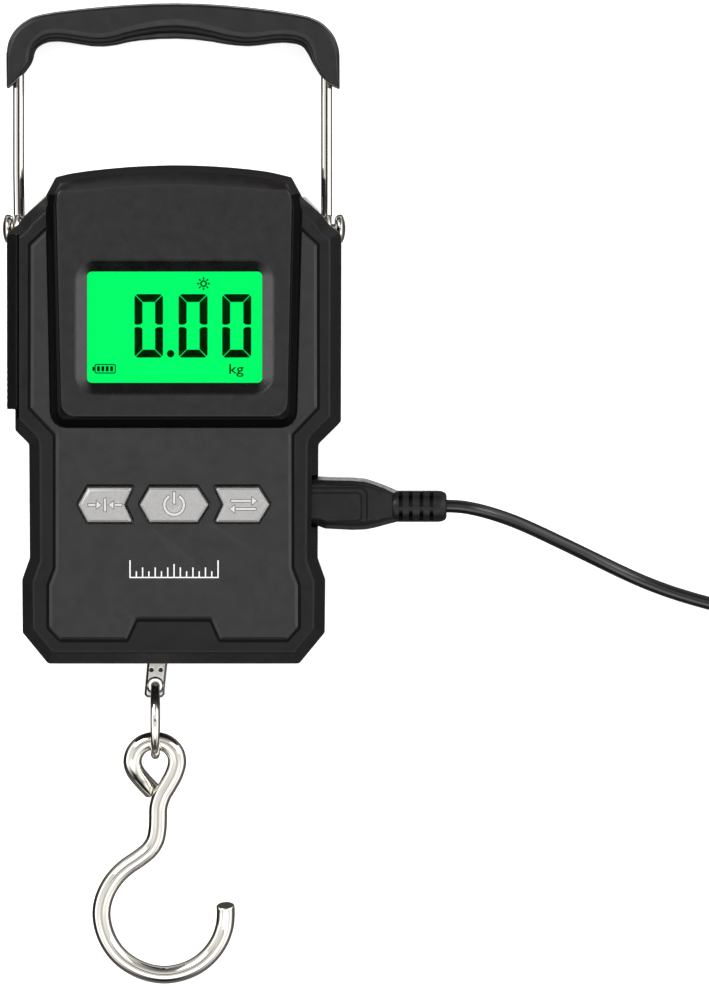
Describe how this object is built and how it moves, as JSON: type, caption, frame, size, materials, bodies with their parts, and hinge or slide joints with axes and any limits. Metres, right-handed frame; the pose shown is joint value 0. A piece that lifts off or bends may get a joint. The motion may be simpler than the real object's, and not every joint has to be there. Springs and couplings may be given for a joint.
{
  "type": "digital fish scale",
  "caption": "Handheld hanging scale with a swinging wire handle, lit display, arrow-shaped buttons, side tape measure, ring and hook, with its charging lead plugged in.",
  "frame": {"origin": "on the surface the scale lies on, under the middle of the object's outline (charging lead left out)", "axes": "+Z out of the display face, +X to the reader's right, +Y from the hook to the handle; the scale lies on its back"},
  "size_m": [0.2032, 0.2141, 0.0285],
  "materials": {
    "case_black": "fine moulded texture, semi-matte",
    "panel_grey": "fine satin moulding",
    "hood_grey": "satin moulding",
    "tab_black": "satin moulding",
    "grip_grey": "soft satin moulding",
    "key_silver": "silver-painted keys",
    "chrome": "polished, nickel-chrome plated",
    "strap_steel": "plated sheet steel",
    "steel": "zinc-plated",
    "cell_aluminium": "machined",
    "screen_green": "lit green display",
    "lens": "clear window",
    "board": "solder mask",
    "battery_foil": "laminated pouch",
    "silicone": "moulded silicone",
    "tape": "coated tape and its spool",
    "spring_steel": "blued spring strip",
    "lead_black": "matte PVC",
    "diffuser": "light guide"
  },
  "bodies": {
    "case": {"rear_shell": "case_black", "front_shell": "case_black", "front_panel": "panel_grey", "display_hood": "hood_grey", "display_lens": "lens", "lcd_panel": "screen_green", "lcd_backlight": "diffuser", "zebra_connector": "silicone", "main_pcb": "board", "usb_socket": "steel", "battery": "battery_foil", "keypad_mat": "silicone", "hanger_plate": "strap_steel", "pivot_pin_left": "chrome", "pivot_pin_right": "chrome", "load_cell": "cell_aluminium", "load_cell_pin": "steel", "strap_pin": "steel", "tape_axle": "steel", "case_screw_1": "steel", "case_screw_2": "steel", "case_screw_3": "steel", "case_screw_4": "steel", "case_screw_5": "steel", "case_screw_6": "steel", "board_screw_1": "steel", "board_screw_2": "steel", "board_screw_3": "steel", "board_screw_4": "steel"},
    "handle": {"bail_wire": "chrome", "grip_front": "grip_grey", "grip_rear": "grip_grey"},
    "zero_key": {"zero_button": "key_silver"},
    "power_key": {"power_button": "key_silver"},
    "unit_key": {"unit_button": "key_silver"},
    "strap": {"load_strap": "strap_steel"},
    "ring_body": {"ring": "chrome"},
    "hook_body": {"hook": "chrome"},
    "tape": {"tape_blade": "tape", "tape_tab": "tab_black"},
    "drum": {"tape_drum": "tape", "tape_spring": "spring_steel"},
    "charging_lead": {"micro_plug": "lead_black", "micro_plug_contact": "steel", "charging_cord": "lead_black", "cord_coil": "lead_black", "cord_tie": "lead_black", "cord_tail": "lead_black", "usb_plug": "lead_black", "usb_plug_shell": "steel", "usb_plug_tongue": "case_black"}
  },
  "joints": [
    {"name": "handle_fold", "type": "hinge", "parent": "case", "child": "handle", "pos_m": [0, 0.05575, 0.0086], "axis": [1, 0, 0], "range_deg": [-60, 60]},
    {"name": "zero_press", "type": "slide", "parent": "case", "child": "zero_key", "axis": [0, 0, -1], "range_m": [0, 0.0005], "stiffness_N_per_m": 1800},
    {"name": "power_press", "type": "slide", "parent": "case", "child": "power_key", "axis": [0, 0, -1], "range_m": [0, 0.0005], "stiffness_N_per_m": 1800},
    {"name": "unit_press", "type": "slide", "parent": "case", "child": "unit_key", "axis": [0, 0, -1], "range_m": [0, 0.0005], "stiffness_N_per_m": 1800},
    {"name": "tape_pull", "type": "slide", "parent": "case", "child": "tape", "axis": [-1, 0, 0], "range_m": [0, 0.03], "stiffness_N_per_m": 20, "springref_m": -0.03},
    {"name": "tape_drum_spin", "type": "hinge", "parent": "case", "child": "drum", "pos_m": [0.001, 0.036, 0.0126], "axis": [0, 0, 1], "range_deg": [0, 120]},
    {"name": "strap_swing", "type": "hinge", "parent": "case", "child": "strap", "pos_m": [-0.0028, -0.0282, 0.0086], "axis": [0, 0, 1], "range_deg": [-7, 7]},
    {"name": "ring_swing", "type": "hinge", "parent": "strap", "child": "ring_body", "pos_m": [-0.00395, -0.0404, 0.0086], "axis": [0, 0, 1], "range_deg": [-50, 50]},
    {"name": "hook_swing", "type": "hinge", "parent": "ring_body", "child": "hook_body", "pos_m": [-0.00395, -0.05195, 0.008], "axis": [1, 0, 0], "range_deg": [-100, 90]},
    {"name": "charging_plug_pull", "type": "slide", "parent": "case", "child": "charging_lead", "axis": [1, 0, 0], "range_m": [0, 0.008]}
  ],
  "couplings": [
    {"joint": "tape_drum_spin", "follows": "tape_pull", "rad_per_m": 65.6}
  ]
}
